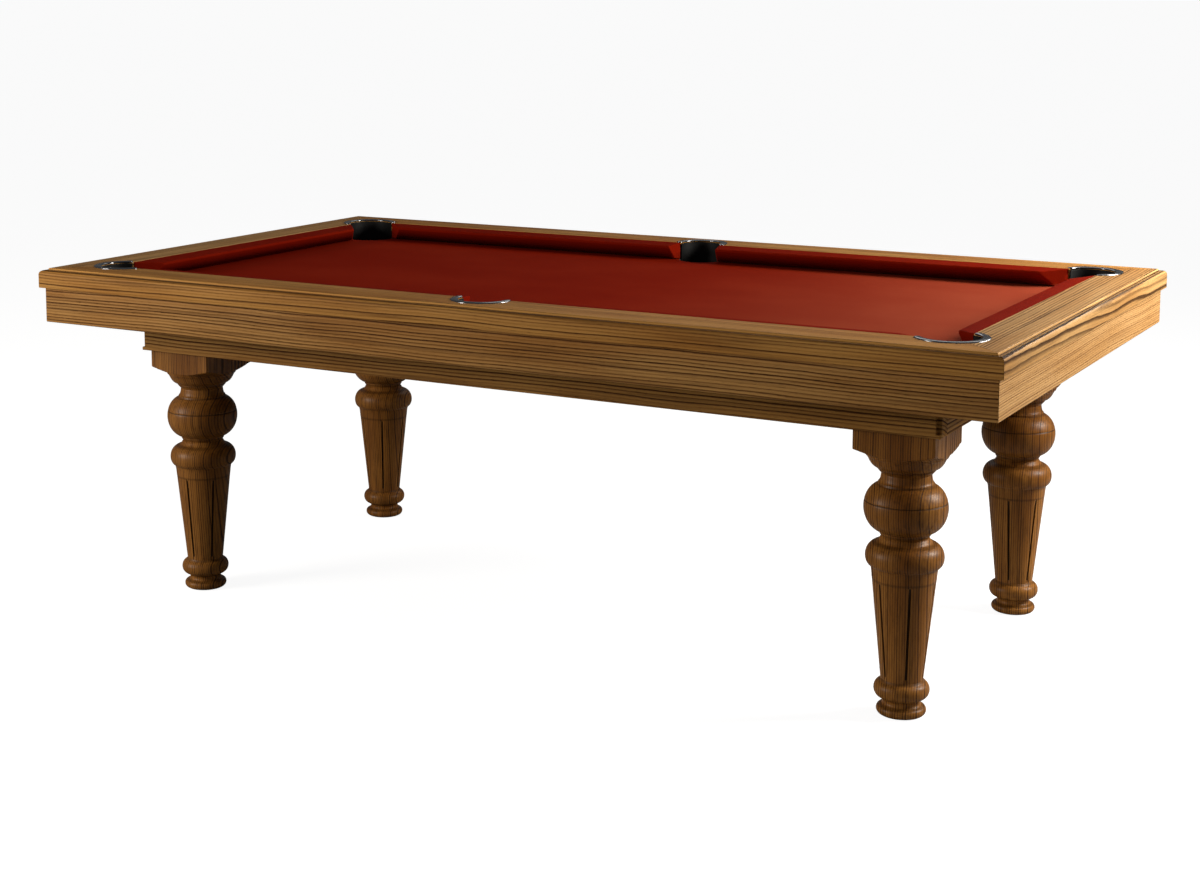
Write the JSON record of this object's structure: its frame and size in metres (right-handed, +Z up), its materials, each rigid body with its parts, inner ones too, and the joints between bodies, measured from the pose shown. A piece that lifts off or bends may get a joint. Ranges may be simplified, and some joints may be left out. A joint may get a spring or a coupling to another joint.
{
  "type": "pool table",
  "caption": "Slate-bed pool table with mitred oak rails, drop pockets with dark metal irons, red cloth and turned, fluted legs on screw levellers",
  "frame": {"origin": "on the floor, under the middle of the table", "axes": "+X along the table's length, +Y across it to the back, +Z up"},
  "size_m": [2.312, 1.322, 0.8028],
  "materials": {
    "turned_oak": "oiled oak, straight dark grain",
    "rail_oak": "brushed and oiled oak, grain along each board",
    "frame_oak": "oiled oak",
    "pine": "bare sawn softwood",
    "red_cloth": "terracotta red napless worsted billiard cloth",
    "slate": "honed slate",
    "cushion_rubber": "moulded gum rubber",
    "pocket_metal": "dark polished metal",
    "pocket_liner": "moulded black liner, fine texture",
    "foot_plastic": "moulded black foot",
    "zinc_steel": "zinc plated steel"
  },
  "bodies": {
    "table": {"leg_front_left": "turned_oak", "leg_front_right": "turned_oak", "leg_back_left": "turned_oak", "leg_back_right": "turned_oak", "top_rail_front": "rail_oak", "apron_front": "rail_oak", "frame_beam_front": "frame_oak", "top_rail_back": "rail_oak", "apron_back": "rail_oak", "frame_beam_back": "frame_oak", "top_rail_left": "rail_oak", "apron_left": "rail_oak", "frame_beam_left": "frame_oak", "top_rail_right": "rail_oak", "apron_right": "rail_oak", "frame_beam_right": "frame_oak", "frame_cross_beam_left": "pine", "frame_cross_beam_right": "pine", "cushion_backer_front_left": "pine", "cushion_rubber_front_left": "cushion_rubber", "cushion_cloth_front_left": "red_cloth", "cushion_backer_front_right": "pine", "cushion_rubber_front_right": "cushion_rubber", "cushion_cloth_front_right": "red_cloth", "cushion_backer_back_left": "pine", "cushion_rubber_back_left": "cushion_rubber", "cushion_cloth_back_left": "red_cloth", "cushion_backer_back_right": "pine", "cushion_rubber_back_right": "cushion_rubber", "cushion_cloth_back_right": "red_cloth", "cushion_backer_left_end": "pine", "cushion_rubber_left_end": "cushion_rubber", "cushion_cloth_left_end": "red_cloth", "cushion_backer_right_end": "pine", "cushion_rubber_right_end": "cushion_rubber", "cushion_cloth_right_end": "red_cloth", "slate_left": "slate", "slate_centre": "slate", "slate_right": "slate", "bed_cloth": "red_cloth", "pocket_iron_front_left": "pocket_metal", "pocket_cup_front_left": "pocket_liner", "pocket_iron_front_middle": "pocket_metal", "pocket_cup_front_middle": "pocket_liner", "pocket_iron_front_right": "pocket_metal", "pocket_cup_front_right": "pocket_liner", "pocket_iron_back_left": "pocket_metal", "pocket_cup_back_left": "pocket_liner", "pocket_iron_back_middle": "pocket_metal", "pocket_cup_back_middle": "pocket_liner", "pocket_iron_back_right": "pocket_metal", "pocket_cup_back_right": "pocket_liner"},
    "leveller_pad_front_left": {"leveller_pad_front_left": "foot_plastic"},
    "leveller_screw_front_left": {"leveller_screw_front_left": "zinc_steel"},
    "leveller_pad_front_right": {"leveller_pad_front_right": "foot_plastic"},
    "leveller_screw_front_right": {"leveller_screw_front_right": "zinc_steel"},
    "leveller_pad_back_left": {"leveller_pad_back_left": "foot_plastic"},
    "leveller_screw_back_left": {"leveller_screw_back_left": "zinc_steel"},
    "leveller_pad_back_right": {"leveller_pad_back_right": "foot_plastic"},
    "leveller_screw_back_right": {"leveller_screw_back_right": "zinc_steel"}
  },
  "joints": [
    {"name": "leveller_drop_front_left", "type": "slide", "parent": "table", "child": "leveller_pad_front_left", "axis": [0, 0, -1], "range_m": [0, 0.014]},
    {"name": "leveller_turn_front_left", "type": "hinge", "parent": "leveller_pad_front_left", "child": "leveller_screw_front_left", "pos_m": [-0.889, -0.394, 0.03], "axis": [0, 0, -1], "range_deg": [0, 2880]},
    {"name": "leveller_drop_front_right", "type": "slide", "parent": "table", "child": "leveller_pad_front_right", "axis": [0, 0, -1], "range_m": [0, 0.014]},
    {"name": "leveller_turn_front_right", "type": "hinge", "parent": "leveller_pad_front_right", "child": "leveller_screw_front_right", "pos_m": [0.889, -0.394, 0.03], "axis": [0, 0, -1], "range_deg": [0, 2880]},
    {"name": "leveller_drop_back_left", "type": "slide", "parent": "table", "child": "leveller_pad_back_left", "axis": [0, 0, -1], "range_m": [0, 0.014]},
    {"name": "leveller_turn_back_left", "type": "hinge", "parent": "leveller_pad_back_left", "child": "leveller_screw_back_left", "pos_m": [-0.889, 0.394, 0.03], "axis": [0, 0, -1], "range_deg": [0, 2880]},
    {"name": "leveller_drop_back_right", "type": "slide", "parent": "table", "child": "leveller_pad_back_right", "axis": [0, 0, -1], "range_m": [0, 0.014]},
    {"name": "leveller_turn_back_right", "type": "hinge", "parent": "leveller_pad_back_right", "child": "leveller_screw_back_right", "pos_m": [0.889, 0.394, 0.03], "axis": [0, 0, -1], "range_deg": [0, 2880]}
  ],
  "couplings": [
    {"joint": "leveller_turn_front_left", "follows": "leveller_drop_front_left", "rad_per_m": 3590.4},
    {"joint": "leveller_turn_front_right", "follows": "leveller_drop_front_right", "rad_per_m": 3590.4},
    {"joint": "leveller_turn_back_left", "follows": "leveller_drop_back_left", "rad_per_m": 3590.4},
    {"joint": "leveller_turn_back_right", "follows": "leveller_drop_back_right", "rad_per_m": 3590.4}
  ]
}
